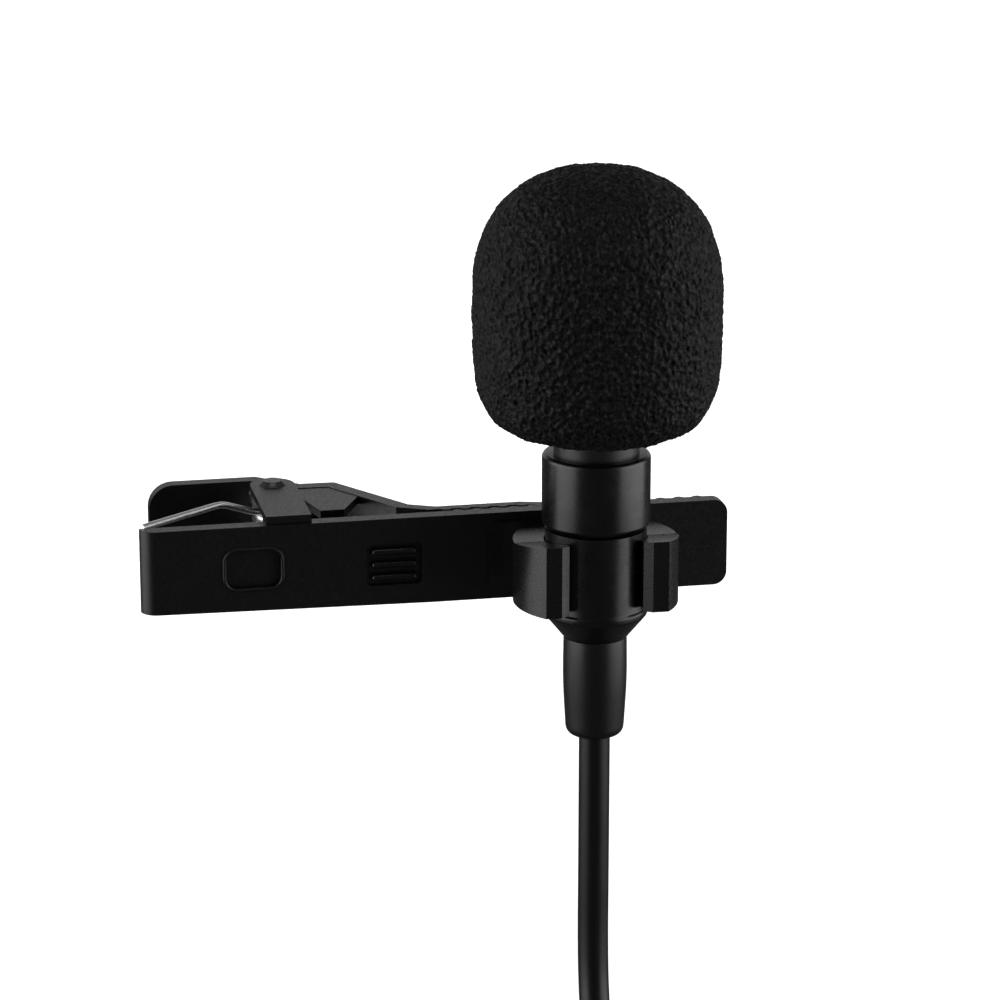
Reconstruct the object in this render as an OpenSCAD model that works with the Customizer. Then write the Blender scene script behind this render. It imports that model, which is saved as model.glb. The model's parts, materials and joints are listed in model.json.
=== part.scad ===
/* [Microphone] */
// Outer radius of the upper barrel
barrel_r = 4.25; // [4.2:0.05:4.4]
// Outer radius of the section that the holder grips
grip_r = 4.0; // [3.8:0.05:4.0]
// Height of the barrel's top face
barrel_top = 9.6; // [9.2:0.1:10.4]
// Height of the barrel's lower edge
barrel_bottom = 3.6; // [3.4:0.1:3.8]
// Outer radius of the grille cap, and of the neck below the windscreen
cap_r = 3.35; // [3.3:0.05:3.45]
// Height of the grille cap's top face
cap_top = 17.4; // [17.2:0.1:18.4]
// Largest radius of the tail cone, where it meets the grip section
shoulder_r = 4.13; // [4.05:0.01:4.2]

/* [Foam windscreen] */
// Largest radius of the foam
foam_r = 9.7; // [8:0.1:11]
// Height of the foam's top
foam_top = 32.2; // [28:0.1:34]
// Height of the foam's lower face
foam_bottom = 11.0; // [10.6:0.1:12]
// Height at which the foam is widest
foam_middle = 22.2; // [20:0.1:23]

/* [Clip] */
// Width of both arms
arm_w = 7.1; // [6.6:0.1:8]
// Thickness of the front arm
front_t = 1.25; // [1:0.05:1.4]
// Left end of the front arm
arm_left = -35.1; // [-38:0.1:-33]
// Right tip of the front arm
arm_right = 12.0; // [11:0.1:14]
// Radius of the hinge pin
pin_r = 0.7; // [0.6:0.05:0.75]
// Diameter of the spring's wire
wire_d = 0.55; // [0.4:0.05:0.6]

/* [Holder] */
// Inner radius of the collar around the grip section
collar_inner = 4.1; // [4.05:0.05:4.15]
// Outer radius of the collar's front half
collar_outer = 6.5; // [5.9:0.1:6.8]
// Half the width of the collar's front slot
slot_half = 2.95; // [2.6:0.05:3.2]

/* [Cord] */
// Diameter of the cable
cord_d = 2.5; // [2:0.1:2.5]
// Length of the hank that holds the unseen cable
hank_length = 56; // [50:1:62]
// Width of the hank
hank_width = 33; // [30:0.5:36]
// Depth of the hank
hank_depth = 12.6; // [12.6:0.1:16]

/* [Plug] */
// Radius of the jack plug's contacts
jack_r = 1.75; // [1.75:0.01:1.75]
// Radius of the plug's shell
shell_r = 3.9; // [3.6:0.1:4.5]

/* [Hidden] */
$fn = 48;

// The microphone's axis is vertical, this far in front of the plane between the jaws.
mic_y = -6.8;
front_face = -1.6;
front_back = front_face + front_t;
arm_h = arm_w / 2;

// Hinge
pin_x = -23.4;
pin_y = 7.7;
ear_r = 1.8;
front_ears = [[3.6, 4.2], [-3.3, -2.7]];
rear_ears = [[2.85, 3.5], [-2.6, -1.95]];
running = 0.05;

// Rear arm: the outer edge of its plate seen from above, from the tail to the jaw's tip
tail_left = -33.0;
jaw_back = 1.1;
jaw_front = 0.3;
rear_plan = [
    [tail_left, 12.4], [-24.2, 12.4], [-20.9, 9.6], [-18.1, 9.5], [-13.3, 2.1], [-11.3, jaw_back],
    [10.2, jaw_back], [10.2, jaw_front], [-12.0, jaw_front], [-14.4, 1.5], [-18.8, 8.3],
    [-21.3, 8.4], [-24.6, 11.2], [tail_left, 11.2]
];
// Rear ears: the tab that joins each ear's eye to the plate
tab_plan = [
    [-24.6, 9.0], [-23.4, 9.5], [-20.9, 9.55], [-18.3, 9.4], [-16.4, 6.2], [-18.5, 1.9],
    [-20.4, 1.9], [-21.7, 6.8]
];
tooth_pitch = 1.5;
teeth_left = -10.5;
teeth_count = 14;

// Capsule stack, from the board up
board_z = 13.0;
board_t = 0.4;
can_r = 2.5;
can_wall = 0.2;
can_bottom = 12.8;
can_top = 16.2;
inside_r = can_r - can_wall;

// Tail
relief_top = -5.3;
relief_end = -13.5;
cord_r = cord_d / 2;

// The hank hangs below the cable's free stretch, and the plug hangs from the hank. The cable
// enters the hank at its front and leaves it at its back, so that both pass clear of its turns.
hank_top = -48;
hank_end = hank_top - hank_length;
boot_top = hank_end - 14;
shell_top = boot_top - 9;
shell_end = shell_top - 18;
cord_route = [
    [0, 0, relief_end], [0, 0, -20], [0, 0, -26], [0, 0, -31], [0, -0.4, -35], [0, -1.6, -39],
    [0, -3.4, -43], [0, -4.6, -46], [0, -5, -48]
];
tail_route = [[0, 5, 0], [0, 4.6, -2], [0, 3.4, -5], [0, 1.6, -8], [0, 0.4, -11], [0, 0, -14]];

// A tube swept along a route in a plane of constant X, as one closed polyhedron
function heading(route, i) =
    let (way = route[min(i + 1, len(route) - 1)] - route[max(i - 1, 0)]) way / norm(way);

function ring_points(route, i, r, sides) =
    let (across = cross(heading(route, i), [1, 0, 0]))
    [for (k = [0:sides - 1])
        route[i] + r * (cos(360 * k / sides) * [1, 0, 0] - sin(360 * k / sides) * across)];

module swept_tube(route, r, sides = 8) {
    rings = len(route);
    points = [for (i = [0:rings - 1]) each ring_points(route, i, r, sides)];
    walls = [
        for (i = [0:rings - 2], k = [0:sides - 1])
            [i * sides + k, i * sides + (k + 1) % sides, (i + 1) * sides + (k + 1) % sides,
             (i + 1) * sides + k]
    ];
    caps = [
        [for (k = [sides - 1:-1:0]) k],
        [for (k = [0:sides - 1]) (rings - 1) * sides + k]
    ];
    polyhedron(points = points, faces = concat(walls, caps), convexity = 4);
}

// A solid of revolution about the microphone's axis from [radius, height] points
module turned(profile) {
    translate([0, mic_y, 0]) rotate_extrude() polygon(profile);
}

module ring(inner, outer, low, high) {
    turned([[inner, low], [outer, low], [outer, high], [inner, high]]);
}

module rounded_rect(low, high, r) {
    translate([low.x + r, low.y]) square([high.x - low.x - 2 * r, high.y - low.y]);
    translate([low.x, low.y + r]) square([high.x - low.x, high.y - low.y - 2 * r]);
    for (x = [low.x + r, high.x - r], y = [low.y + r, high.y - r]) translate([x, y]) circle(r);
}

// Extrudes an XZ outline along Y from y0 to y1
module along_y(y0, y1) {
    translate([0, y1, 0]) rotate([90, 0, 0]) linear_extrude(y1 - y0) children();
}

// Extrudes an XY outline between each of two pairs of heights
module at_heights(spans) {
    for (span = spans)
        translate([0, 0, span[0]]) linear_extrude(span[1] - span[0]) children();
}

// Ridges across a jaw, from a base line to a crest line, in plan
module teeth(base_y, crest_y, first_x) {
    for (i = [0:teeth_count - 1]) {
        x = first_x + i * tooth_pitch;
        polygon([[x - 0.6, base_y], [x + 0.6, base_y], [x + 0.15, crest_y], [x - 0.15, crest_y]]);
    }
}

// ---- Clip ----

module clip_front_arm() color("#1c1b1e") {
    // The lower edge rises a little towards the tail
    side_outline = [[arm_left, -3.25], [-12, -arm_h], [arm_right, -arm_h], [arm_right, arm_h],
        [arm_left, arm_h]];
    difference() {
        union() {
            intersection() {
                translate([0, 0, -arm_h]) linear_extrude(arm_w) {
                    translate([arm_left + front_t, front_face])
                        square([arm_right - arm_left - front_t, front_t]);
                    // The tail's end curves back
                    intersection() {
                        translate([arm_left + front_t, front_back]) circle(front_t);
                        translate([arm_left, front_face]) square(front_t);
                    }
                    teeth(front_back - 0.1, -0.08, teeth_left + tooth_pitch / 2);
                }
                along_y(-3, 1) rounded_rect([arm_left - 2, -arm_h], [arm_right, arm_h], 1.1);
                along_y(-3, 1) polygon(side_outline);
            }
            at_heights([[3.0, front_ears[0][1]], front_ears[1]])
                translate([pin_x - ear_r, front_face + 0.3]) square([2 * ear_r, 2.0]);
            at_heights(front_ears) {
                translate([pin_x - ear_r, 0]) square([2 * ear_r, pin_y]);
                translate([pin_x, pin_y]) circle(ear_r);
            }
        }
        translate([pin_x, pin_y, -6]) cylinder(r = pin_r, h = 12);
        along_y(front_face - 1, front_face + 0.4) {
            rounded_rect([-28.6, -1.6], [-24.0, 1.7], 0.6);
            rounded_rect([-17.3, -1.9], [-12.9, 1.5], 0.4);
        }
        along_y(front_face - 1, front_back + 1) circle(0.8);
    }
    // Grip ribs in the second recess
    along_y(front_face + 0.1, front_face + 0.45)
        for (z = [-1.25, -0.2, 0.85]) translate([-16.9, z - 0.2]) square([3.6, 0.4]);
}

module clip_rear_arm() color("#1a191c") {
    difference() {
        union() {
            intersection() {
                translate([0, 0, -arm_h]) linear_extrude(arm_w) {
                    polygon(rear_plan);
                    teeth(jaw_front + 0.1, 0.06, teeth_left);
                }
                along_y(-2, 14) {
                    rounded_rect([tail_left, -arm_h], [-5, arm_h], 2.0);
                    translate([-12, 0]) polygon([[0, -arm_h], [7.5, -arm_h], [22.2, -2.4],
                        [22.2, 2.4], [7.5, arm_h], [0, arm_h]]);
                }
            }
            at_heights(rear_ears) {
                polygon(tab_plan);
                translate([pin_x, pin_y]) circle(ear_r + 0.1);
            }
        }
        translate([pin_x, pin_y, -6]) cylinder(r = pin_r + running, h = 12);
    }
}

module hinge_pin() color("#8d8d8f") translate([pin_x, pin_y, 0]) {
    head = 0.35;
    top = front_ears[0][1];
    bottom = front_ears[1][0];
    translate([0, 0, bottom]) cylinder(r = pin_r, h = top - bottom);
    translate([0, 0, top]) cylinder(r1 = 1.15, r2 = 0.75, h = head);
    translate([0, 0, bottom - head]) cylinder(r1 = 0.75, r2 = 1.15, h = head);
}

module wire_rod(from, to) {
    run = to - from;
    translate(from)
        rotate([0, acos(run.z / norm(run)), atan2(run.y, run.x)])
            cylinder(d = wire_d, h = norm(run), $fn = 16);
}

module torsion_spring() color("#d8d9dc") {
    coil_r = 1.15;
    turns = 6;
    pitch = 0.68;
    low = 0.2 - turns * pitch / 2;
    for (i = [0:turns - 1])
        translate([pin_x, pin_y, low + (i + 0.5) * pitch])
            rotate_extrude($fn = 32) translate([coil_r, 0]) circle(d = wire_d, $fn = 16);
    // The front leg rises to the arm's edge and ends on the front arm's tail
    leave = [pin_x - 0.7, pin_y - 0.9, low + (turns - 0.5) * pitch];
    knee = [-27.9, 5.2, 3.5];
    wire_rod(leave, knee);
    wire_rod(knee, [-34.6, 0.2, 3.5]);
    // The rear leg ends on the rear arm's tail
    rear_leave = [pin_x - 0.9, pin_y + 0.7, low + 0.5 * pitch];
    wire_rod(rear_leave, [-31.6, 10.8, rear_leave.z]);
    // The wire is a little thicker at its knee
    translate(knee) sphere(d = wire_d + 0.1, $fn = 24);
}

// ---- Holder ----

module mic_holder() color("#202022") {
    low = -2.4;
    high = 2.6;
    lip_high = 3.3;
    lip_y = mic_y - 4.3;
    difference() {
        union() {
            along_y(front_face - 0.4, front_face) rounded_rect([-7.5, -2.85], [5.5, 2.85], 0.8);
            intersection() {
                // The collar: an open ring, flat across its lips, whose mouth widens forwards
                translate([0, 0, low]) linear_extrude(lip_high - low) difference() {
                    intersection() {
                        translate([0, mic_y]) circle(collar_outer);
                        translate([-8, lip_y]) square([16, front_face - lip_y]);
                    }
                    translate([0, mic_y]) circle(collar_inner);
                    polygon([[-slot_half, mic_y], [-slot_half, lip_y + 0.5], [-slot_half - 0.8, lip_y - 0.1],
                        [slot_half + 0.8, lip_y - 0.1], [slot_half, lip_y + 0.5], [slot_half, mic_y]]);
                }
                // Its top, level behind the microphone and rising towards the lips
                translate([-8, 0, 0]) rotate([90, 0, 90]) linear_extrude(16)
                    polygon([[lip_y - 1, low], [front_face, low], [front_face, high], [mic_y, high],
                        [lip_y, lip_high], [lip_y - 1, lip_high]]);
            }
        }
        rivet_space();
    }
}

// The rivet's shank and its sunk head, in the wall behind the microphone
module rivet_space() {
    along_y(-3.2, front_back) circle(0.8);
    along_y(-3.2, -2.15) circle(1.4);
}

module holder_rivet() color("#8d8d8f") {
    along_y(-2.65, front_back) circle(0.8);
    along_y(-2.65, -2.15) circle(1.4);
}

// ---- Microphone housing ----

module housing_barrel() color("#242426") turned([
    [3.3, barrel_bottom], [barrel_r - 0.4, barrel_bottom], [barrel_r, barrel_bottom + 0.4],
    [barrel_r, barrel_top - 0.25], [barrel_r - 0.25, barrel_top], [3.0, barrel_top], [3.0, 8.2],
    [2.5, 8.2], [2.5, 6.4], [3.3, 6.4]
]);

module housing_base() color("#222224") turned([
    [1.9, -4.6], [1.9, relief_top], [2.55, relief_top], [shoulder_r, -3.35], [shoulder_r, -2.9],
    [grip_r, -2.75], [grip_r, barrel_bottom], [3.3, barrel_bottom], [3.3, 6.4], [2.3, 6.4],
    [2.3, -2.6], [1.3, -2.6], [1.3, -4.6]
]);

module housing_seal() color("#111111")
    translate([0, mic_y, 8.0]) rotate_extrude() translate([2.75, 0]) circle(0.19, $fn = 24);

module grille_cap() color("#2a2a2c") difference() {
    turned([
        [2.4, 8.25], [3.0, 8.25], [3.0, barrel_top], [cap_r, barrel_top], [cap_r, cap_top - 0.3],
        [cap_r - 0.3, cap_top], [0, cap_top], [0, cap_top - 0.5], [2.9, cap_top - 0.5],
        [2.9, 12.4], [2.4, 12.0]
    ]);
    for (k = [0:6]) {
        at = k == 0 ? [0, 0] : 1.5 * [cos(60 * k), sin(60 * k)];
        translate([at.x, mic_y + at.y, cap_top - 1]) cylinder(r = 0.4, h = 2);
    }
}

module dust_mesh() color("#777777") ring(0, 2.85, cap_top - 0.7, cap_top - 0.5);

// ---- Capsule ----

module capsule_boot() color("#151515") turned([
    [can_r, 12.5], [2.88, 12.5], [2.88, 16.6], [2.0, 16.6], [2.0, can_top], [can_r, can_top]
]);

module capsule_can() color("#b9b9b4") turned([
    [inside_r, can_bottom], [can_r, can_bottom], [can_r, can_top], [0.6, can_top],
    [0.6, can_top - can_wall], [inside_r, can_top - can_wall]
]);

module diaphragm_ring() color("#c9a95a") ring(1.9, inside_r, 15.7, can_top - can_wall);

module diaphragm() color("#d8c98a") ring(0, inside_r, 15.65, 15.7);

module diaphragm_spacer() color("#f2f2ee") ring(1.9, inside_r, 15.5, 15.65);

module backplate() color("#c2a14d") difference() {
    ring(0, 1.85, 15.1, 15.5);
    for (k = [0:3])
        translate([cos(90 * k), mic_y + sin(90 * k), 15]) cylinder(r = 0.25, h = 1);
}

module gate_ring() color("#e8e4d8") turned([
    [1.6, board_z + board_t], [inside_r, board_z + board_t], [inside_r, 15.5], [1.85, 15.5],
    [1.85, 15.1], [1.6, 15.1]
]);

module transistor() color("#0d0d0d")
    translate([-0.7, mic_y - 0.5, board_z + board_t]) cube([1.4, 1.0, 0.7]);

module capsule_board() color("#1f5a34") ring(0, inside_r, board_z, board_z + board_t);

module lead(x) {
    translate([x, mic_y, 1.5]) cylinder(r = 0.3, h = board_z - 1.5, $fn = 16);
}

module signal_lead() color("#b43a2a") lead(0.8);

module shield_lead() color("#b87545") lead(-0.8);

// ---- Tail and cord ----

module cable_lead_in() color("#1a1a1a") ring(0, cord_r, relief_end, 1.5);

module cable_crimp() color("#a8a8a4") ring(cord_r, 2.0, -1.6, 1.0);

module strain_relief() color("#191919") turned([
    [cord_r, relief_end], [1.9, relief_end], [2.33, -13.0], [2.4, -11.8], [2.5, -9.8],
    [2.54, -8.0], [2.5, relief_top], [1.88, relief_top], [1.88, -4.6], [cord_r, -4.6]
]);

module cable() color("#171717") translate([0, mic_y, 0]) swept_tube(cord_route, cord_r);

module cable_tail() color("#171717")
    translate([0, mic_y, hank_end]) swept_tube(tail_route, cord_r);

module cable_hank() color("#171717") along_y(mic_y - hank_depth / 2, mic_y + hank_depth / 2) {
    half = hank_width / 2;
    for (z = [hank_top - half, hank_end + half]) translate([0, z]) circle(half);
    translate([-half, hank_end + half]) square([hank_width, hank_length - hank_width]);
}

module cable_tie() color("#111111") translate([0, mic_y, (hank_top + hank_end) / 2 - 2])
    linear_extrude(4) difference() {
        square([hank_width + 1.6, hank_depth + 1.6], center = true);
        square([hank_width, hank_depth], center = true);
    }

// ---- Plug ----

module plug_boot() color("#151515") turned([
    [0, boot_top], [cord_r + 0.25, boot_top], [2.4, shell_top + 1.5], [2.6, shell_top],
    [2.2, shell_top], [2.2, shell_top - 2], [0, shell_top - 2]
]);

module plug_shell() color("#232325") turned([
    [2.2, shell_top], [3.5, shell_top], [shell_r, shell_top - 0.5], [shell_r, shell_end + 0.4],
    [shell_r - 0.4, shell_end], [3.0, shell_end], [3.0, shell_top - 3], [2.2, shell_top - 3]
]);

// The moulded core that carries the contacts and the solder lugs
module plug_body() color("#d9d6cc") {
    turned([[0, shell_end + 6], [3.0, shell_end + 6], [3.0, shell_end], [0, shell_end]]);
    for (x = [-1.1, 1.1]) translate([x - 0.15, mic_y - 0.8, shell_end + 6]) cube([0.3, 1.6, 5]);
}

// A contact or insulator: a ring whose ends are these depths below the shell's face
module contact(inner, from, to) {
    ring(inner, jack_r, shell_end - to, shell_end - from);
}

module plug_sleeve() color("#d4d2cb") contact(1.2, 0, 6.0);

module plug_rear_insulator() color("#111111") contact(0.9, 6.0, 6.6);

module plug_ring() color("#d4d2cb") contact(0.9, 6.6, 8.8);

module plug_front_insulator() color("#111111") contact(0.9, 8.8, 9.4);

module plug_tip() color("#d4d2cb") translate([0, 0, shell_end]) turned([
    [0, 0], [0.9, 0], [0.9, -9.4], [jack_r, -9.4], [jack_r, -10.2], [1.25, -11.0],
    [1.6, -11.9], [1.25, -12.8], [0.5, -13.6], [0, -13.6]
]);

// ---- Foam windscreen ----

// A ball with a flattened underside: two superellipse quarters, joined where it is widest
function foam_radius(z) =
    let (up = z > foam_middle,
         reach = up ? foam_top - foam_middle : foam_middle - foam_bottom,
         power = up ? 2.3 : 4.4,
         part = min(1, abs(z - foam_middle) / reach))
    foam_r * pow(max(0, 1 - pow(part, power)), 1 / power);

module foam_windscreen() color("#141414") {
    steps = 14;
    bore = cap_r + 0.07;
    lower = [for (k = [0:steps]) foam_middle - (foam_middle - foam_bottom) * cos(90 * k / steps)];
    upper = [for (k = [1:steps]) foam_middle + (foam_top - foam_middle) * sin(90 * k / steps)];
    turned(concat(
        [[bore, foam_bottom]],
        [for (z = concat(lower, upper)) if (foam_radius(z) > bore || z > foam_middle)
            [foam_radius(z), z]],
        [[0, cap_top + 0.3], [bore, cap_top + 0.3]]
    ));
}

clip_front_arm();
mic_holder();
holder_rivet();
hinge_pin();
torsion_spring();
clip_rear_arm();
housing_barrel();
housing_base();
grille_cap();
dust_mesh();
capsule_boot();
capsule_can();
diaphragm_ring();
diaphragm();
diaphragm_spacer();
backplate();
gate_ring();
transistor();
capsule_board();
signal_lead();
shield_lead();
housing_seal();
cable_lead_in();
cable_crimp();
strain_relief();
foam_windscreen();
cable();
cable_hank();
cable_tie();
cable_tail();
plug_boot();
plug_shell();
plug_body();
plug_sleeve();
plug_rear_insulator();
plug_ring();
plug_front_insulator();
plug_tip();
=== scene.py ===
"""A lavalier microphone in its tie clip: foam windscreen, turned housing, sprung clip, cable and plug."""

import json
import math

import bmesh
import bpy
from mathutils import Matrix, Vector, noise


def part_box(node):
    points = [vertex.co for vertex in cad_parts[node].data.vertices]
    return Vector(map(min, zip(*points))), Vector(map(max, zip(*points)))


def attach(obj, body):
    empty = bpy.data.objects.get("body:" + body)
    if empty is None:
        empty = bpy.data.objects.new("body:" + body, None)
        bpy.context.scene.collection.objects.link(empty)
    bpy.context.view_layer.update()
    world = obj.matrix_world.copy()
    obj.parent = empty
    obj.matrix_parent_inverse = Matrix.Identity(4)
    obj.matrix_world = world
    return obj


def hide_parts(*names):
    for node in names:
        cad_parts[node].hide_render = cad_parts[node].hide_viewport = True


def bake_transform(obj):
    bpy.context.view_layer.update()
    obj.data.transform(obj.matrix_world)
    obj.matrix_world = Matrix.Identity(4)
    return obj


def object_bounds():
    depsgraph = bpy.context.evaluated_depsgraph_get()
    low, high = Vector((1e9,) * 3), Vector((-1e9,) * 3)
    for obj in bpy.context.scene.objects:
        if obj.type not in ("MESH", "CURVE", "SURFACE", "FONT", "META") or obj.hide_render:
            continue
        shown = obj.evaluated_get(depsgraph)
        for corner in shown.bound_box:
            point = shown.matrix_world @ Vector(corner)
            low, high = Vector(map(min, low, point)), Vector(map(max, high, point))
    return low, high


MM = 0.001
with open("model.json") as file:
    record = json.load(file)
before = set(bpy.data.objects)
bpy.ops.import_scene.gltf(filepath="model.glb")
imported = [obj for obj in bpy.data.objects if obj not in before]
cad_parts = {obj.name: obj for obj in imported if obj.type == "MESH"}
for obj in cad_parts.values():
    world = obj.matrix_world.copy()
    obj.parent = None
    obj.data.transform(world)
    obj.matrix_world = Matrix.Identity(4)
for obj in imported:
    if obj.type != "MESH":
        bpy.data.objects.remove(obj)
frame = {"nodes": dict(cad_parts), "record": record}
cad_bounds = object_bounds()
nodes = frame["nodes"]

# The microphone's axis is vertical and this far in front of the jaws (metres).
MIC_Y = -0.0068
AXIS = Vector((0.0, MIC_Y, 0.0))


# ---- Camera ----

CAMERA_TARGET = Vector((-0.00765, MIC_Y, 0.00615))
CAMERA_AZIMUTH = math.radians(-11.5)
CAMERA_ELEVATION = math.radians(16.5)
CAMERA_DISTANCE = 0.30
CAMERA_NEAREST = 0.01
CAMERA_FURTHEST = 50.0
PICTURE_WIDTH = 0.0776
SENSOR = 36.0


def make_camera():
    data = bpy.data.cameras.new("camera")
    data.sensor_width = SENSOR
    data.lens = SENSOR * CAMERA_DISTANCE / PICTURE_WIDTH
    data.clip_start = CAMERA_NEAREST
    data.clip_end = CAMERA_FURTHEST
    camera = bpy.data.objects.new("camera", data)
    back = Vector((
        math.sin(CAMERA_AZIMUTH) * math.cos(CAMERA_ELEVATION),
        -math.cos(CAMERA_AZIMUTH) * math.cos(CAMERA_ELEVATION),
        math.sin(CAMERA_ELEVATION),
    ))
    camera.location = CAMERA_TARGET + back * CAMERA_DISTANCE
    camera.rotation_mode = "QUATERNION"
    camera.rotation_quaternion = (-back).to_track_quat("-Z", "Y")
    bpy.context.scene.collection.objects.link(camera)
    bpy.context.scene.camera = camera


# ---- Materials ----

# Nearly all of a noise texture's values lie between these.
NOISE_RANGE = (0.3, 0.7)


class Shader:
    """A small builder for a procedural material round one Principled BSDF."""

    SOCKETS = {
        "base": "Base Color",
        "rough": "Roughness",
        "metal": "Metallic",
        "ior": "IOR",
        "sheen": "Sheen Weight",
        "sheen_rough": "Sheen Roughness",
        "specular": "Specular IOR Level",
        "glow": "Emission Strength",
        "glow_colour": "Emission Color",
    }

    def __init__(self, name):
        self.material = bpy.data.materials.new(name)
        self.material.use_nodes = True
        self.tree = self.material.node_tree
        self.bsdf = self.tree.nodes["Principled BSDF"]
        self.place = self.node("ShaderNodeTexCoord").outputs["Object"]

    def node(self, kind, **settings):
        made = self.tree.nodes.new(kind)
        for key, value in settings.items():
            setattr(made, key, value)
        return made

    def link(self, source, target):
        self.tree.links.new(source, target)

    def set(self, **values):
        """Sets the shader's own sockets, by their short names. A colour is (red, green, blue)."""
        for key, value in values.items():
            socket = self.bsdf.inputs[self.SOCKETS[key]]
            socket.default_value = (*value, 1.0) if isinstance(value, tuple) else value

    def stretched(self, scale):
        """Object coordinates scaled by a different factor along each axis."""
        mapping = self.node("ShaderNodeMapping")
        self.link(self.place, mapping.inputs["Vector"])
        mapping.inputs["Scale"].default_value = scale
        return mapping.outputs["Vector"]

    def noise(self, scale, detail=4.0, rough=0.6, vector=None):
        made = self.node("ShaderNodeTexNoise")
        self.link(vector or self.place, made.inputs["Vector"])
        made.inputs["Scale"].default_value = scale
        made.inputs["Detail"].default_value = detail
        made.inputs["Roughness"].default_value = rough
        return made.outputs["Fac"]

    def cells(self, scale, feature="F1"):
        """Distances in a pattern of cells: to their centres or, with DISTANCE_TO_EDGE, to their edges."""
        made = self.node("ShaderNodeTexVoronoi", feature=feature)
        self.link(self.place, made.inputs["Vector"])
        made.inputs["Scale"].default_value = scale
        return made.outputs["Distance"]

    def span(self, value, low, high, within=NOISE_RANGE):
        """Maps a value that lies within one range to another, low to high, clamped."""
        made = self.node("ShaderNodeMapRange")
        self.link(value, made.inputs["Value"])
        for key, number in zip(("From Min", "From Max", "To Min", "To Max"), (*within, low, high)):
            made.inputs[key].default_value = number
        return made.outputs["Result"]

    def ramp(self, value, stops):
        """A colour ramp with [(position, colour), ...]."""
        made = self.node("ShaderNodeValToRGB")
        self.link(value, made.inputs["Fac"])
        elements = made.color_ramp.elements
        while len(elements) < len(stops):
            elements.new(0.5)
        for element, (position, colour) in zip(elements, stops):
            element.position = position
            element.color = (*colour, 1.0)
        return made.outputs["Color"]

    def fade(self, value, dark, light):
        """A ramp from one colour to another over a noise texture's values."""
        return self.ramp(value, list(zip(NOISE_RANGE, (dark, light))))

    def add(self, a, b):
        made = self.node("ShaderNodeMath", operation="ADD")
        self.link(a, made.inputs[0])
        self.link(b, made.inputs[1])
        return made.outputs["Value"]

    def bump(self, height, depth, strength=1.0, below=None):
        """Bump of a depth in metres. below is an earlier bump's normal."""
        made = self.node("ShaderNodeBump")
        made.inputs["Strength"].default_value = strength
        made.inputs["Distance"].default_value = depth
        self.link(height, made.inputs["Height"])
        if below:
            self.link(below, made.inputs["Normal"])
        return made.outputs["Normal"]

    def finish(self, colour, rough, normal):
        for value, name in ((colour, "Base Color"), (rough, "Roughness"), (normal, "Normal")):
            self.link(value, self.bsdf.inputs[name])
        return self.material


def grey(value):
    return (value, value, value)


def scaled(colour, factor):
    return tuple(part * factor for part in colour)


def painted_metal(name, shade, rough):
    """Satin black over turned metal: even colour, a very fine grain and faint handling marks."""
    s = Shader(name)
    s.set(ior=1.52)
    grain = s.noise(scale=9000, detail=3.0)
    marks = s.noise(scale=600, detail=5.0, rough=0.7)
    colour = s.fade(marks, grey(shade * 0.85), grey(shade * 1.2))
    roughness = s.span(marks, rough - 0.05, rough + 0.06)
    return s.finish(colour, roughness, s.bump(grain, depth=0.004 * MM))


def moulded_plastic(name, shade, rough, depth=0.012 * MM, scale=5200):
    """Black plastic with the fine spark texture of its mould."""
    s = Shader(name)
    s.set(ior=1.5)
    spark = s.noise(scale=scale, rough=0.65)
    cloud = s.noise(scale=350)
    colour = s.fade(cloud, grey(shade * 0.85), grey(shade * 1.15))
    roughness = s.span(spark, rough - 0.08, rough + 0.08, within=(0.35, 0.65))
    return s.finish(colour, roughness, s.bump(spark, depth))


def rubber_skin(name, shade, rough):
    """Extruded or moulded rubber: matt, with a soft ripple and dust in its pores."""
    s = Shader(name)
    s.set(ior=1.45)
    ripple = s.noise(scale=500, detail=3.0, rough=0.5, vector=s.stretched((1, 1, 0.35)))
    pores = s.noise(scale=7000)
    colour = s.ramp(pores, [(0.35, grey(shade * 0.8)), (0.6, grey(shade)), (0.8, grey(shade * 1.7))])
    roughness = s.span(ripple, rough - 0.05, rough + 0.05)
    soft = s.bump(ripple, depth=0.04 * MM, strength=0.6)
    return s.finish(colour, roughness, s.bump(pores, depth=0.006 * MM, below=soft))


def bare_metal(name, base, rough, brush=(1, 1, 1), scale=4000):
    """Polished, drawn or plated metal. A low factor in brush draws its fine lines out along that axis."""
    s = Shader(name)
    s.set(metal=1.0)
    lines = s.noise(scale=scale, vector=s.stretched(brush))
    dull = s.noise(scale=700, detail=3.0)
    colour = s.fade(dull, scaled(base, 0.9), base)
    roughness = s.span(lines, rough * 0.7, rough * 1.5)
    return s.finish(colour, roughness, s.bump(lines, depth=0.003 * MM))


def foam_skin(name):
    """Open-cell foam with pits and struts in its bump. Its colour is painted shade: nearly black where the
    grain sinks, slightly paler and glossier where it stands up.
    """
    s = Shader(name)
    s.set(ior=1.5, sheen=0.02, sheen_rough=0.5, specular=0.2)
    cells = s.cells(scale=1900)
    strands = s.cells(scale=3600, feature="DISTANCE_TO_EDGE")
    grain = s.noise(scale=2600, rough=0.7)
    # Painted shade and painted highlight: the grain that raises the skin darkens its low spots and lightens
    # its high ones.
    colour = s.ramp(grain, [(0.35, grey(0.0008)), (0.5, grey(0.004)), (0.68, grey(0.018))])
    roughness = s.span(grain, 0.8, 0.45)
    pits = s.bump(cells, depth=0.3 * MM)
    skin = s.bump(s.add(grain, strands), depth=0.03 * MM, strength=0.7, below=pits)
    return s.finish(colour, roughness, skin)


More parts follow.
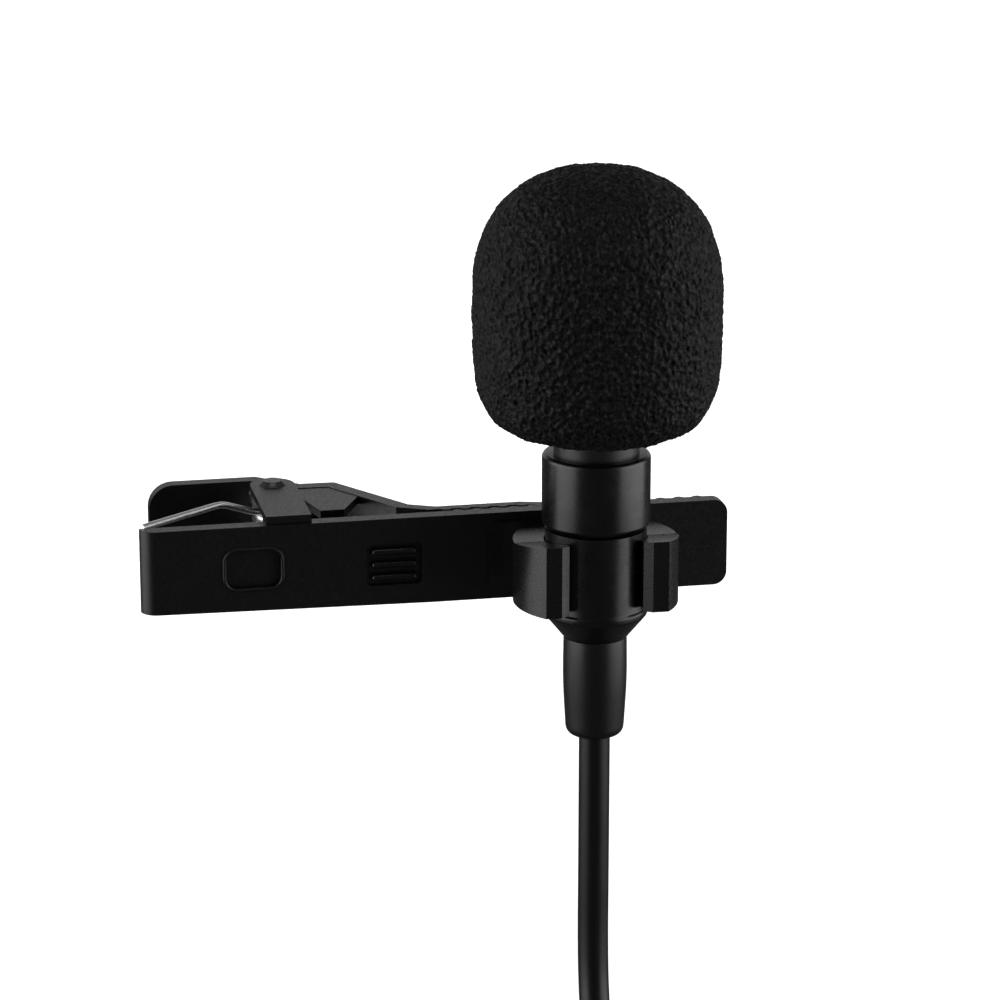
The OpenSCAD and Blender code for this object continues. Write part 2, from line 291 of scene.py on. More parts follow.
def woven_loops(name):
    """Hook-and-loop strap: a dense pile of tiny loops."""
    s = Shader(name)
    s.set(sheen=0.4, sheen_rough=0.5, ior=1.45)
    pile = s.cells(scale=2600)
    weave = s.noise(scale=5000, detail=3.0)
    colour = s.ramp(pile, [(0.1, grey(0.05)), (0.6, grey(0.012))])
    roughness = s.span(weave, 0.7, 0.95)
    return s.finish(colour, roughness, s.bump(s.add(pile, weave), depth=0.2 * MM))


def plain_moulding(name, base, rough, metal=0.0):
    """A small inner part: moulded or stamped, with a fine grain."""
    s = Shader(name)
    s.set(metal=metal)
    grain = s.noise(scale=6000, detail=3.0)
    colour = s.fade(grain, scaled(base, 0.85), base)
    roughness = s.span(grain, rough - 0.08, rough + 0.08)
    return s.finish(colour, roughness, s.bump(grain, depth=0.008 * MM))


def make_materials():
    return {
        "clip": moulded_plastic("clip", shade=0.002, rough=0.40),
        "holder": moulded_plastic("holder", shade=0.003, rough=0.30, depth=0.002 * MM, scale=9000),
        "steel": bare_metal("steel", base=(0.10, 0.10, 0.105), rough=0.35),
        "spring_steel": bare_metal("spring_steel", base=(0.86, 0.86, 0.87), rough=0.36, scale=9000),
        "housing": painted_metal("housing", shade=0.002, rough=0.28),
        "grille": painted_metal("grille", shade=0.012, rough=0.42),
        "mesh": bare_metal("mesh", base=(0.4, 0.4, 0.4), rough=0.4),
        "rubber": rubber_skin("rubber", shade=0.012, rough=0.7),
        "can": bare_metal("can", base=(0.78, 0.78, 0.77), rough=0.25),
        "brass": bare_metal("brass", base=(0.8, 0.62, 0.3), rough=0.25),
        "film": plain_moulding("film", base=(0.7, 0.66, 0.45), rough=0.2, metal=0.8),
        "white_plastic": plain_moulding("white_plastic", base=(0.8, 0.79, 0.74), rough=0.4),
        "black_plastic": plain_moulding("black_plastic", base=grey(0.02), rough=0.4),
        "board": plain_moulding("board", base=(0.03, 0.18, 0.07), rough=0.35),
        "red_lead": plain_moulding("red_lead", base=(0.5, 0.05, 0.03), rough=0.4),
        "copper_lead": bare_metal("copper_lead", base=(0.8, 0.45, 0.28), rough=0.3, brush=(1, 1, 0.1)),
        "cable": rubber_skin("cable", shade=0.003, rough=0.36),
        "relief": rubber_skin("relief", shade=0.006, rough=0.38),
        "tie": woven_loops("tie"),
        "plug_shell": painted_metal("plug_shell", shade=0.008, rough=0.3),
        "contact": bare_metal("contact", base=(0.86, 0.84, 0.79), rough=0.32),
        "foam": foam_skin("foam"),
    }


# ---- Mesh helpers ----

CREASE = math.radians(35)
FILLET_STEPS = 5
ON_AXIS = 1e-6
TURNED_SIDES = 128


def object_from(name, mesh, body, material_slot, replaced=()):
    made = bpy.data.objects.new(name, mesh)
    bpy.context.scene.collection.objects.link(made)
    made.data.materials.append(materials[material_slot])
    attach(made, body)
    if replaced:
        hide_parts(*replaced)
    return made


def mesh_from(name, bm):
    mesh = bpy.data.meshes.new(name)
    bm.to_mesh(mesh)
    bm.free()
    return mesh


def smooth(mesh, angle=CREASE):
    """Smooth shading, with every edge sharper than the angle left crisp."""
    mesh.polygons.foreach_set("use_smooth", [True] * len(mesh.polygons))
    mesh.set_sharp_from_angle(angle=angle)


def bevel(piece, width, segments=3):
    made = piece.modifiers.new("bevel", "BEVEL")
    made.width = width
    made.segments = segments
    made.limit_method = "ANGLE"
    made.angle_limit = CREASE


def bridge(bm, low, high):
    """Quads between two closed rings with as many vertices each."""
    count = len(low)
    for k in range(count):
        n = (k + 1) % count
        bm.faces.new((low[k], low[n], high[n], high[k]))


def rounded_profile(points):
    """Points are (radius, height, fillet) in millimetres. Each fillet becomes a short curve."""
    out = []
    last = len(points) - 1
    for i, (r, z, fillet) in enumerate(points):
        corner = Vector((r, z))
        if not fillet or i in (0, last):
            out.append(corner)
            continue
        before = Vector(points[i - 1][:2]) - corner
        after = Vector(points[i + 1][:2]) - corner
        start = corner + before.normalized() * min(fillet, before.length / 2)
        end = corner + after.normalized() * min(fillet, after.length / 2)
        for k in range(FILLET_STEPS + 1):
            t = k / FILLET_STEPS
            out.append(start * (1 - t) ** 2 + corner * 2 * t * (1 - t) + end * t * t)
    return out


def turned_ring(bm, point, sides):
    """Vertices round the microphone's axis, or a single one on it."""
    r = point.x * MM
    z = point.y * MM
    if point.x < ON_AXIS:
        return [bm.verts.new((0, MIC_Y, z))]
    ring = []
    for k in range(sides):
        a = 2 * math.pi * k / sides
        ring.append(bm.verts.new((r * math.cos(a), MIC_Y + r * math.sin(a), z)))
    return ring


def lathe(name, points, body, material_slot, replaced, sides=TURNED_SIDES):
    """A turned piece about the microphone's axis. Points are (radius, height, fillet) in millimetres."""
    bm = bmesh.new()
    rings = [turned_ring(bm, point, sides) for point in rounded_profile(points)]
    for low, high in zip(rings, rings[1:]):
        if len(low) == 1:
            for k in range(sides):
                bm.faces.new((low[0], high[(k + 1) % sides], high[k]))
        elif len(high) == 1:
            for k in range(sides):
                bm.faces.new((low[k], low[(k + 1) % sides], high[0]))
        else:
            bridge(bm, low, high)
    bmesh.ops.recalc_face_normals(bm, faces=bm.faces)
    mesh = mesh_from(name, bm)
    smooth(mesh)
    return object_from(name, mesh, body, material_slot, replaced)


def rounded_loop(low, high, corner, steps):
    """Points round a rectangle with rounded corners, in its own plane."""
    centres = [
        (high[0] - corner, high[1] - corner), (low[0] + corner, high[1] - corner),
        (low[0] + corner, low[1] + corner), (high[0] - corner, low[1] + corner),
    ]
    out = []
    for quarter, (across, up) in enumerate(centres):
        for k in range(steps + 1):
            a = math.pi / 2 * (quarter + k / steps)
            out.append((across + corner * math.cos(a), up + corner * math.sin(a)))
    return out


def wire_curve(name, path, diameter, resolution):
    """A round wire along a path, in metres."""
    curve = bpy.data.curves.new(name, "CURVE")
    curve.dimensions = "3D"
    curve.bevel_depth = diameter / 2
    curve.bevel_resolution = resolution
    curve.use_fill_caps = True
    spline = curve.splines.new("POLY")
    spline.points.add(len(path) - 1)
    for point, place in zip(spline.points, path):
        point.co = (*place, 1.0)
    spline.use_smooth = True
    return curve


# ---- Cord ----

CORD_D = 2.5
CORD_RESOLUTION = 6
HANK_TOP = -48.0
HANK_LENGTH = 56.0
HANK_MIDDLE = HANK_TOP - HANK_LENGTH / 2
HANK_END = HANK_TOP - HANK_LENGTH

# The route's points as the CAD has them, in millimetres from the microphone's axis.
CORD_ROUTE = [
    (0, 0, -13.5), (0, 0, -20), (0, 0, -26), (0, 0, -31), (0, -0.4, -35), (0, -1.6, -39),
    (0, -3.4, -43), (0, -4.6, -46), (0, -5, -48),
]
TAIL_ROUTE = [(0, 5, 0), (0, 4.6, -2), (0, 3.4, -5), (0, 1.6, -8), (0, 0.4, -11), (0, 0, -14)]
ROUTE_STEPS = 3

# Inside the hank: the way from its top to the first turn, and from the last turn to its end.
HANK_ENTRY = [(0.6, -5.2, -51.5), (3.0, -5.2, -56), (7.2, -5.2, -61), (11.6, -5.0, -66), (14.5, -3.9, -71)]
HANK_EXIT = [(7.4, 3.4, -81), (6.6, 5.0, -86), (4.6, 5.2, -91.5), (2.0, 5.2, -97), (0.4, 5.1, -101)]
TURN_RADII = (15.2, 12.7, 10.2, 7.7)
TURN_LAYERS = (-2.5, 0.0, 2.5)
TURN_HALF_RUN = 11.5
TURN_POINTS = 48

# The first turn starts to move over to the next one's place at this part of its round, each later turn this
# much earlier, and the move takes this part of a round.
SHIFT_FIRST = 0.86
SHIFT_EARLIER = 0.032
SHIFT_LASTS = 0.13

TIE_WIDTH = 4.0
TIE_THICK = 0.7
TIE_CORNER = 3.0
TIE_CORNER_STEPS = 8
TIE_ROWS = 5
TIE_EDGE = 0.2


def eased(t):
    t = min(1.0, max(0.0, t))
    return t * t * (3 - 2 * t)


def stadium(part, radius):
    """A point (x, z) on a turn, from the middle of its right run, downwards. part goes from 0 to 1."""
    half = TURN_HALF_RUN
    arc = math.pi * radius
    along = part * (4 * half + 2 * arc)
    if along < half:
        return radius, -along
    along -= half
    if along < arc:
        a = along / radius
        return radius * math.cos(a), -half - radius * math.sin(a)
    along -= arc
    if along < 2 * half:
        return -radius, -half + along
    along -= 2 * half
    if along < arc:
        a = along / radius
        return -radius * math.cos(a), half + radius * math.sin(a)
    return radius, half - (along - arc)


def hank_slots():
    """Each turn's (radius, layer): inwards through the first layer, outwards through the next."""
    slots = []
    for k, layer in enumerate(TURN_LAYERS):
        radii = TURN_RADII if k % 2 == 0 else TURN_RADII[::-1]
        slots += [(radius, layer) for radius in radii]
    return slots


def hank_turns():
    slots = hank_slots()
    points = []
    for i, (radius, layer) in enumerate(slots):
        next_radius, next_layer = slots[min(i + 1, len(slots) - 1)]
        # A later turn moves over first, so that its place is free for the turn before it.
        shift_at = SHIFT_FIRST - SHIFT_EARLIER * i
        for k in range(TURN_POINTS):
            part = k / TURN_POINTS
            moved = eased((part - shift_at) / SHIFT_LASTS)
            r = radius + (next_radius - radius) * moved
            x, z = stadium(part, r)
            points.append((x, layer + (next_layer - layer) * moved, HANK_MIDDLE + z))
    return points


def smoothed(points):
    """Catmull-Rom points through given ones."""
    ends = [Vector(p) for p in points]
    ends = [ends[0] * 2 - ends[1]] + ends + [ends[-1] * 2 - ends[-2]]
    out = []
    for a, b, c, d in zip(ends, ends[1:], ends[2:], ends[3:]):
        for k in range(ROUTE_STEPS):
            t = k / ROUTE_STEPS
            out.append(0.5 * (
                2 * b + (c - a) * t + (2 * a - 5 * b + 4 * c - d) * t ** 2 + (3 * b - a - 3 * c + d) * t ** 3
            ))
    out.append(ends[-2])
    return out


def cord_path():
    """The cord's whole line, in metres."""
    turns = hank_turns()
    # The ends are smoothed on through two points of the hank, so that they meet it in line. What repeats the
    # hank there is left out.
    shared = ROUTE_STEPS + 1
    start = smoothed([*CORD_ROUTE, *HANK_ENTRY, *turns[:2]])[:-shared]
    tail = [(x, y, z + HANK_END) for x, y, z in TAIL_ROUTE]
    end = smoothed([*turns[-2:], *HANK_EXIT, *tail])[shared:]
    return [AXIS + Vector(p) * MM for p in [*start, *turns, *end]]


def make_cord():
    curve = wire_curve("cord", cord_path(), CORD_D * MM, CORD_RESOLUTION)
    cord = object_from(
        "cord", curve, "microphone", "cable", ("cable", "cable_hank", "cable_tail"),
    )
    tie = make_tie()
    boot, shell = make_plug()


def make_tie():
    """A hook-and-loop strap, closed on itself round the hank's middle."""
    low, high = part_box("cable_tie")
    centre = (low + high) / 2
    inside = (high - low) / 2 - Vector((TIE_THICK, TIE_THICK, 0)) * MM
    outline = rounded_loop(-inside, inside, TIE_CORNER * MM, TIE_CORNER_STEPS)
    bm = bmesh.new()
    rings = []
    for j in range(TIE_ROWS):
        z = centre.z + (j / (TIE_ROWS - 1) - 0.5) * TIE_WIDTH * MM
        rings.append([bm.verts.new((centre.x + x, centre.y + y, z)) for x, y in outline])
    for low_ring, high_ring in zip(rings, rings[1:]):
        bridge(bm, low_ring, high_ring)
    mesh = mesh_from("tie", bm)
    smooth(mesh)
    tie = object_from("tie_strap", mesh, "microphone", "tie", ("cable_tie",))
    wall = tie.modifiers.new("wall", "SOLIDIFY")
    wall.thickness = TIE_THICK * MM
    wall.offset = 1.0
    bevel(tie, TIE_EDGE * MM, segments=2)
    return tie


# ---- Plug ----

BOOT_SIDES = 96
BOOT_RIBS = 6
BOOT_FIRST_RIB = 1.6
BOOT_RIB_STEP = 1.15
BOOT_TOP_R = 1.65
BOOT_TAPER = 0.11
SHELL_NECK_R = 2.2
SHELL_R = 3.9
SHELL_GROOVE_R = 3.75
SHELL_BORE_R = 3.0


def boot_rib(top, r):
    """The profile of one rib of the boot, with the groove below it."""
    return [
        (r + 0.12, top, 0.15), (r + 0.15, top - 0.65, 0.15),
        (r - 0.2, top - 0.72, 0.1), (r - 0.15, top - 1.1, 0.1),
    ]


def make_plug():
    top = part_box("plug_boot")[1].z / MM
    shell_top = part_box("plug_shell")[1].z / MM
    shell_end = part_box("plug_shell")[0].z / MM
    ribs = []
    for k in range(BOOT_RIBS):
        ribs += boot_rib(top - BOOT_FIRST_RIB - k * BOOT_RIB_STEP, BOOT_TOP_R + BOOT_TAPER * k)
    boot = lathe("boot_sleeve", [
        (0, top, 0), (1.4, top, 0.2), *ribs, (2.55, shell_top, 0), (SHELL_NECK_R, shell_top, 0),
        (SHELL_NECK_R, shell_top - 2, 0), (0, shell_top - 2, 0),
    ], "microphone", "relief", ("plug_boot",), BOOT_SIDES)
    shell = lathe("shell_sleeve", [
        (SHELL_NECK_R, shell_top, 0), (3.4, shell_top, 0.2), (SHELL_R, shell_top - 0.6, 0.3),
        (SHELL_R, shell_top - 3.0, 0.05), (SHELL_GROOVE_R, shell_top - 3.15, 0.05),
        (SHELL_GROOVE_R, shell_top - 3.6, 0.05), (SHELL_R, shell_top - 3.75, 0.05),
        (SHELL_R, shell_end + 0.5, 0.3), (3.5, shell_end, 0.1), (SHELL_BORE_R, shell_end, 0),
        (SHELL_BORE_R, shell_top - 3, 0), (SHELL_NECK_R, shell_top - 3, 0), (SHELL_NECK_R, shell_top, 0),
    ], "microphone", "plug_shell", ("plug_shell",))
    return boot, shell


# ---- Foam windscreen ----

FOAM_R = 9.7
FOAM_TOP = 32.2
FOAM_BOTTOM = 11.0
FOAM_MIDDLE = 22.2
FOAM_BORE = 3.42
FOAM_BORE_TOP = 17.7
FOAM_CREASE = math.radians(80)

# Above and below its middle the foam is a superellipse of these powers.
FOAM_TOP_POWER = 2.3
FOAM_BOTTOM_POWER = 4.4

# The bore's rim is this much wider than the bore and this far up. The underside ends this far from the bore.
RIM_WIDER = 0.15
RIM_UP = 0.02
RIM_CLEAR = 0.25

# The mesh's spacing, the fewest points in a ring, and how finely the outline is followed to space it.
FOAM_SPACING = 0.13
FOAM_LEAST = 6
OUTLINE_STEPS = 2000

# Cut cells and smaller ones: how many per millimetre, how fast each one falls away from its edge, how deep.
CELLS = 2.0
CELL_FALL = 2.2
CELL_DEPTH = 0.15
TINY_CELLS = 3.6
TINY_FALL = 2.0
TINY_DEPTH = 0.10
TINY_SHIFT = Vector((7, 3, 1))

# Soft lumps of the whole surface: how many per millimetre, and how high.
LUMPS = 0.55
LUMP_HEIGHT = 0.10
LUMP_OCTAVES = 3


def foam_radius(z):
    if z > FOAM_MIDDLE:
        reach, power = FOAM_TOP - FOAM_MIDDLE, FOAM_TOP_POWER
    else:
        reach, power = FOAM_MIDDLE - FOAM_BOTTOM, FOAM_BOTTOM_POWER
    part = min(1.0, abs(z - FOAM_MIDDLE) / reach)
    return FOAM_R * max(0.0, 1 - part ** power) ** (1 / power)


def foam_outline():
    """The foam's profile, evenly spaced, from the rim of its bore round to its top."""
    fine = [(FOAM_BORE + RIM_WIDER, FOAM_BOTTOM + RIM_UP)]
    for k in range(OUTLINE_STEPS + 1):
        a = math.pi * k / OUTLINE_STEPS
        reach = FOAM_TOP - FOAM_MIDDLE if a > math.pi / 2 else FOAM_MIDDLE - FOAM_BOTTOM
        z = FOAM_MIDDLE - reach * math.cos(a)
        r = foam_radius(z)
        if z > FOAM_MIDDLE or r > FOAM_BORE + RIM_CLEAR:
            fine.append((r, z))
    out = [fine[0]]
    gone = 0.0
    for (r0, z0), (r1, z1) in zip(fine, fine[1:]):
        gone += math.hypot(r1 - r0, z1 - z0)
        if gone >= FOAM_SPACING:
            out.append((r1, z1))
            gone = 0.0
    out.append((0.0, FOAM_TOP))
    return out


def inside_cell(place, fall):
    """0 on the border between two cells, rising to 1 within them."""
    near, _ = noise.voronoi(place)
    return min(1.0, (near[1] - near[0]) * fall)


def foam_height(place):
    """How far the foam's surface stands proud there, in millimetres: below 0 in its cut cells."""
    cell = inside_cell(place * CELLS, CELL_FALL)
    tiny = inside_cell(place * TINY_CELLS + TINY_SHIFT, TINY_FALL)
    lump = noise.fractal(place * LUMPS, 1.0, 2.0, LUMP_OCTAVES)
    return -CELL_DEPTH * cell - TINY_DEPTH * tiny + LUMP_HEIGHT * lump


def stitched(low, high):
    """Triangles between two closed rings of vertices that may have different counts."""
    n, m = len(low), len(high)
    if m == 1:
        return [(low[k], low[(k + 1) % n], high[0]) for k in range(n)]
    faces = []
    i = j = 0
    while i < n or j < m:
        if j >= m or (i < n and (i + 1) / n <= (j + 1) / m):
            faces.append((low[i % n], low[(i + 1) % n], high[j % m]))
            i += 1
        else:
            faces.append((low[i % n], high[(j + 1) % m], high[j % m]))
            j += 1
    return faces


def foam_grid():
    """Vertices in millimetres about the microphone's axis, faces, and how many vertices the rim has."""
    rows = []
    verts = []
    for r, z in foam_outline():
        count = max(FOAM_LEAST, int(2 * math.pi * r / FOAM_SPACING)) if r > 0 else 1
        rows.append(range(len(verts), len(verts) + count))
        for k in range(count):
            a = 2 * math.pi * k / count
            verts.append(Vector((r * math.cos(a), r * math.sin(a), z)))
    faces = []
    for low, high in zip(rows, rows[1:]):
        faces += stitched(low, high)
    return verts, faces, len(rows[0])


def line_bore(mesh):
    """Runs the open rim up into the foam as the bore's wall, and closes the bore's end."""
    bm = bmesh.new()
    bm.from_mesh(mesh)
    bmesh.ops.recalc_face_normals(bm, faces=bm.faces)
    rim = [edge for edge in bm.edges if edge.is_boundary]
    wall = bmesh.ops.extrude_edge_only(bm, edges=rim)["geom"]
    for vertex in [part for part in wall if isinstance(part, bmesh.types.BMVert)]:
        out = Vector((vertex.co.x, vertex.co.y - MIC_Y)).normalized() * FOAM_BORE * MM
        vertex.co = (out.x, MIC_Y + out.y, FOAM_BORE_TOP * MM)
    bmesh.ops.contextual_create(bm, geom=[part for part in wall if isinstance(part, bmesh.types.BMEdge)])
    bmesh.ops.recalc_face_normals(bm, faces=bm.faces)
    bm.to_mesh(mesh)
    bm.free()


def make_foam():
    verts, faces, rim_count = foam_grid()
    mesh = bpy.data.meshes.new("foam")
    mesh.from_pydata(verts, [], faces)
    mesh.update()
    normals = [vertex.normal.copy() for vertex in mesh.vertices]
    for vertex, place, normal in zip(mesh.vertices, verts, normals):
        lift = 0.0 if vertex.index < rim_count else foam_height(place)
        vertex.co = AXIS + (place + normal * lift) * MM
    line_bore(mesh)
    smooth(mesh, FOAM_CREASE)
    foam = object_from("foam_ball", mesh, "windscreen", "foam", ("foam_windscreen",))


# ---- Housing ----

# Radii and heights that its shells share, in millimetres, within 0.05 mm of the CAD's.
GRIP_R = 4.0
GRIP_TOP = 3.6
SPIGOT_R = 3.3
SPIGOT_TOP = 6.4
BARREL_R = 4.25
BARREL_TOP = 9.6
BARREL_BORE_R = 2.5
CAP_SEAT = 8.2
CAP_SEAT_R = 3.0
BODY_BORE_R = 2.3
BODY_BORE_END = -2.6
LEAD_HOLE_R = 1.3
SOCKET_R = 1.9
SOCKET_TOP = -4.6
CONE_TOP = -3.4
CONE_END = -5.3
RELIEF_TOP = -4.62
RELIEF_PLUG_R = 1.88
RELIEF_END = -13.5


def make_housing():
    lathe("barrel_shell", [
        (SPIGOT_R, GRIP_TOP, 0), (3.80, GRIP_TOP, 0.05), (BARREL_R, 4.05, 0.15), (BARREL_R, 9.4, 0.18),
        (4.05, BARREL_TOP, 0.1), (3.36, BARREL_TOP, 0.05), (CAP_SEAT_R, BARREL_TOP, 0),
        (CAP_SEAT_R, CAP_SEAT, 0), (BARREL_BORE_R, CAP_SEAT, 0), (BARREL_BORE_R, SPIGOT_TOP, 0),
        (SPIGOT_R, SPIGOT_TOP, 0), (SPIGOT_R, GRIP_TOP, 0),
    ], "microphone", "housing", ("housing_barrel",))
    lathe("base_shell", [
        (SOCKET_R, SOCKET_TOP, 0), (SOCKET_R, CONE_END, 0), (2.55, CONE_END, 0.08), (4.1, CONE_TOP, 0.12),
        (4.13, -2.95, 0.1), (GRIP_R, -2.75, 0.05), (GRIP_R, GRIP_TOP, 0), (SPIGOT_R, GRIP_TOP, 0),
        (SPIGOT_R, SPIGOT_TOP, 0), (BODY_BORE_R, SPIGOT_TOP, 0), (BODY_BORE_R, BODY_BORE_END, 0),
        (LEAD_HOLE_R, BODY_BORE_END, 0), (LEAD_HOLE_R, SOCKET_TOP, 0), (SOCKET_R, SOCKET_TOP, 0),
    ], "microphone", "housing", ("housing_base",))
    lathe("relief_sleeve", [
        (CORD_D / 2, RELIEF_END, 0), (1.95, RELIEF_END, 0.3), (2.3, -13.1, 0.3), (2.38, -11.8, 0.6),
        (2.5, -9.8, 1.0), (2.54, -8.0, 1.0), (2.5, -5.35, 0.06), (RELIEF_PLUG_R, CONE_END, 0),
        (RELIEF_PLUG_R, RELIEF_TOP, 0), (CORD_D / 2, RELIEF_TOP, 0), (CORD_D / 2, RELIEF_END, 0),
    ], "microphone", "relief", ("strain_relief",))


# ---- Torsion spring ----

PIN = Vector((-23.4, 7.7, 0.0))
WIRE_D = 0.55
WIRE_RESOLUTION = 4
WIRE_CREASE = math.radians(60)
COIL_R = 1.15
COIL_TURNS = 6.25
COIL_TURN_POINTS = 24
COIL_PITCH = 0.62
COIL_MIDDLE = 0.2
COIL_LOW = COIL_MIDDLE - COIL_TURNS * COIL_PITCH / 2
COIL_HIGH = COIL_MIDDLE + COIL_TURNS * COIL_PITCH / 2

# The front leg runs up from the front arm's tail to a knee, and meets the coil's top at this angle.
FRONT_LEG = [
    (-34.8, 0.05, 3.5), (-34.4, 0.34, 3.5), (-33.8, 0.79, 3.5), (-28.4, 4.84, 3.5), (-27.9, 5.18, 3.46),
    (-27.4, 5.42, 3.32), (-25.4, 6.15, 2.5),
]
COIL_START = math.radians(232)
REAR_LEG = [(-25.6, 9.3, COIL_LOW), (-31.6, 10.75, COIL_LOW), (-32.2, 10.8, COIL_LOW)]


def spring_path():
    """The wire's whole line, in metres."""
    coil = []
    steps = int(COIL_TURNS * COIL_TURN_POINTS)
    for k in range(steps + 1):
        a = COIL_START + 2 * math.pi * k / COIL_TURN_POINTS
        z = COIL_HIGH - (COIL_HIGH - COIL_LOW) * k / steps
        coil.append((PIN.x + COIL_R * math.cos(a), PIN.y + COIL_R * math.sin(a), z))
    return [Vector(place) * MM for place in [*FRONT_LEG, *coil, *REAR_LEG]]


def make_spring():
    """One wire: the front leg, the coil round the pin, and the rear leg."""
    curve = wire_curve("spring", spring_path(), WIRE_D * MM, WIRE_RESOLUTION)
    tube = bpy.data.objects.new("spring_curve", curve)
    bpy.context.scene.collection.objects.link(tube)
    bpy.context.view_layer.update()
    graph = bpy.context.evaluated_depsgraph_get()
    mesh = bpy.data.meshes.new_from_object(tube.evaluated_get(graph))
    bpy.data.objects.remove(tube)
    smooth(mesh, WIRE_CREASE)
    spring = bpy.data.objects.new("spring_wire", mesh)
    bpy.context.scene.collection.objects.link(spring)
    spring.data.materials.clear()
    spring.data.materials.append(materials["spring_steel"])
    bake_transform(spring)
    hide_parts("torsion_spring")


# ---- Raised details on the front arm ----

ARM_FACE = -1.6
RECESS_LOW = (-28.6, -1.6)
RECESS_HIGH = (-24.0, 1.7)
RECESS_CORNER = 1.0
RECESS_CORNER_STEPS = 6
RECESS_RIM_R = 0.16
RIB_LEFT = -16.9
RIB_RIGHT = -13.3
RIB_HEIGHTS = (-1.25, -0.2, 0.85)
RIB_R = 0.27
TUBE_SIDES = 12
TUBE_CREASE = math.radians(60)

# A rib's rounded end: how far from it each section is, and the part of the rib's radius it has.
RIB_END = (0.0, 0.06, 0.16, 0.3)
RIB_TAPER = (0.3, 0.75, 0.95, 1.0)


def flat_tube(name, points, radius, closed, material_slot):
    """A tube along points (x, z) in millimetres on the front arm's face. An open one has rounded ends."""
    bm = bmesh.new()
    rings = []
    last = len(points) - 1
    for i, (x, z) in enumerate(points):
        before = Vector(points[i - 1 if closed or i else 0])
        after = Vector(points[(i + 1) % len(points) if closed else min(i + 1, last)])
        along = (after - before).normalized()
        from_end = min(i, last - i, len(RIB_TAPER) - 1)
        r = radius if closed else radius * RIB_TAPER[from_end]
        ring = []
        for k in range(TUBE_SIDES):
            a = 2 * math.pi * k / TUBE_SIDES
            across = r * math.cos(a)
            ring.append(bm.verts.new((
                (x + along.y * across) * MM, (ARM_FACE + r * math.sin(a)) * MM, (z - along.x * across) * MM,
            )))
        rings.append(ring)
    if closed:
        rings.append(rings[0])
    else:
        bm.faces.new(rings[0])
        bm.faces.new(rings[-1])
    for low, high in zip(rings, rings[1:]):
        bridge(bm, low, high)
    bmesh.ops.recalc_face_normals(bm, faces=bm.faces)
    mesh = mesh_from(name, bm)
    smooth(mesh, TUBE_CREASE)
    object_from(name, mesh, "clip_front", material_slot)


def make_arm_details():
    loop = rounded_loop(RECESS_LOW, RECESS_HIGH, RECESS_CORNER, RECESS_CORNER_STEPS)
    flat_tube("recess_rim", loop, RECESS_RIM_R, True, "clip")
    run = [RIB_LEFT + x for x in RIB_END]
    back = [RIB_LEFT + RIB_RIGHT - x for x in reversed(run)]
    for i, height in enumerate(RIB_HEIGHTS):
        points = [(x, height) for x in run + back]
        flat_tube(f"grip_rib_{i + 1}", points, RIB_R, False, "holder")


# ---- Carried-over CAD nodes ----

BEVELS = {
    "clip_front_arm": 0.16,
    "clip_rear_arm": 0.16,
    "mic_holder": 0.30,
    "hinge_pin": 0.10,
}


def dress_nodes():
    slots = {entry["node"]: entry["material_slot"] for entry in frame["record"]["subparts"]}
    for name, node in nodes.items():
        node.data.materials.clear()
        node.data.materials.append(materials[slots[name]])
        smooth(node.data)
        if name in BEVELS:
            bevel(node, BEVELS[name] * MM)


# ---- Stage ----

# Its lengths are in metres.
FLOOR_BELOW = 0.004
FLOOR_REACH = 6.0
FLOOR_SHADE = 0.12
FLOOR_GLOW = 0.84
WALL_R = 5.0
WALL_HEIGHT = 6.0
WALL_MIDDLE = 2.5
WALL_SEGMENTS = 64
WALL_GLOW = 0.9
WHITE = (1.0, 1.0, 1.0)
WORLD_STRENGTH = 0.07

# A soft box stands on each side, this many degrees round from the camera's line of sight.
SIDE_BOXES = {"left_box": -78, "right_box": 84}
SIDE_DISTANCE = 0.42
SIDE_HEIGHT = 0.12


def area_light(name, place, aim, size, radiance, spread=180.0):
    """A rectangular light whose surface has the given radiance, in W per m2 and steradian."""
    data = bpy.data.lights.new(name, "AREA")
    data.shape = "RECTANGLE"
    data.size, data.size_y = size
    data.energy = radiance * math.pi * size[0] * size[1]
    data.spread = math.radians(spread)
    light = bpy.data.objects.new(name, data)
    light.location = place
    light.rotation_mode = "QUATERNION"
    light.rotation_quaternion = (Vector(aim) - Vector(place)).to_track_quat("-Z", "Y")
    light.visible_camera = False
    bpy.context.scene.collection.objects.link(light)


def beside(degrees, distance, height):
    """A place that far round from the camera's line of sight, to its right if positive."""
    a = CAMERA_AZIMUTH + math.radians(degrees)
    return (math.sin(a) * distance, MIC_Y - math.cos(a) * distance, height)


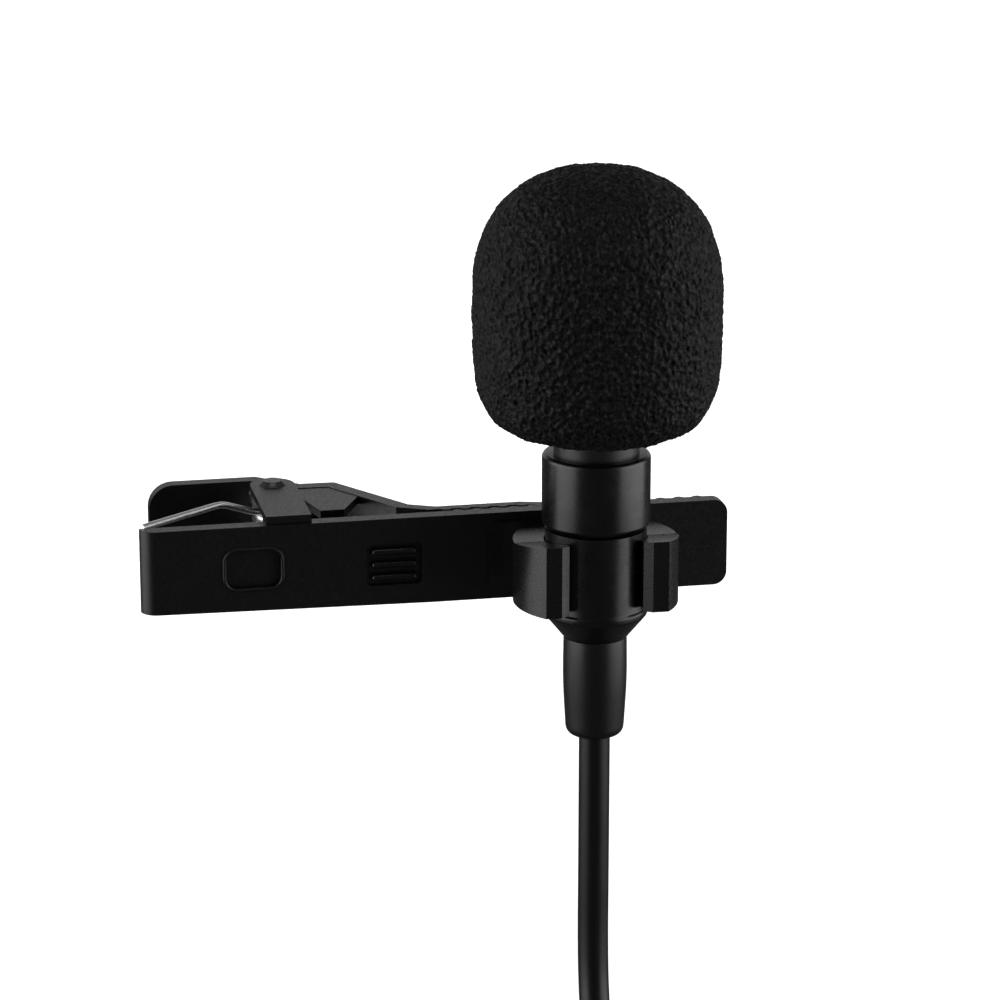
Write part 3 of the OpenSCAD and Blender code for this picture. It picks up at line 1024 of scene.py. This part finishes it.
def pale_sheet(name, bm, place, shade, glow):
    """A pale part of the stage that only the camera sees, so that it lights nothing and isn't reflected."""
    sheet = bpy.data.objects.new(name, mesh_from(name, bm))
    sheet.location = place
    bpy.context.scene.collection.objects.link(sheet)
    s = Shader(name)
    s.set(base=grey(shade), rough=1.0, specular=0.0, glow=glow, glow_colour=WHITE)
    sheet.data.materials.append(s.material)
    for ray in ("diffuse", "glossy", "transmission", "shadow"):
        setattr(sheet, f"visible_{ray}", False)


def make_room():
    """A floor just below the part, and a round wall far beyond it for low views."""
    floor_z = cad_bounds[0].z - FLOOR_BELOW
    floor = bmesh.new()
    bmesh.ops.create_grid(floor, x_segments=2, y_segments=2, size=FLOOR_REACH)
    pale_sheet("floor", floor, (0, 0, floor_z), FLOOR_SHADE, FLOOR_GLOW)
    wall = bmesh.new()
    bmesh.ops.create_cone(wall, segments=WALL_SEGMENTS, radius1=WALL_R, radius2=WALL_R, depth=WALL_HEIGHT)
    pale_sheet("backdrop", wall, (0, 0, floor_z + WALL_MIDDLE), 0.0, WALL_GLOW)


def make_lights():
    world = bpy.data.worlds.new("studio")
    bpy.context.scene.world = world
    world.use_nodes = True
    background = world.node_tree.nodes["Background"]
    background.inputs["Color"].default_value = (*WHITE, 1.0)
    background.inputs["Strength"].default_value = WORLD_STRENGTH
    for name, degrees in SIDE_BOXES.items():
        area_light(
            name, beside(degrees, SIDE_DISTANCE, SIDE_HEIGHT), aim=(0, 0, SIDE_HEIGHT), size=(0.56, 0.55),
            radiance=1.25, spread=130,
        )
    area_light("back_box", (0.1, 0.75, 0.22), aim=(0, 0, 0.05), size=(1.3, 0.55), radiance=0.25, spread=120)
    # The floor behind is lit from overhead by a box that hardly reaches the part.
    area_light("floor_box", (0, 1.5, 0.36), aim=(0, 1.5, 0), size=(3.6, 2.3), radiance=6.0, spread=90)
    area_light("top_box", (0.0, -0.08, 0.6), aim=(0, 0, 0), size=(0.4, 0.2), radiance=0.9)
    bpy.context.scene.view_settings.view_transform = "Standard"


make_camera()
materials = make_materials()
make_cord()
dress_nodes()
make_foam()
make_housing()
make_spring()
make_arm_details()
make_room()
make_lights()
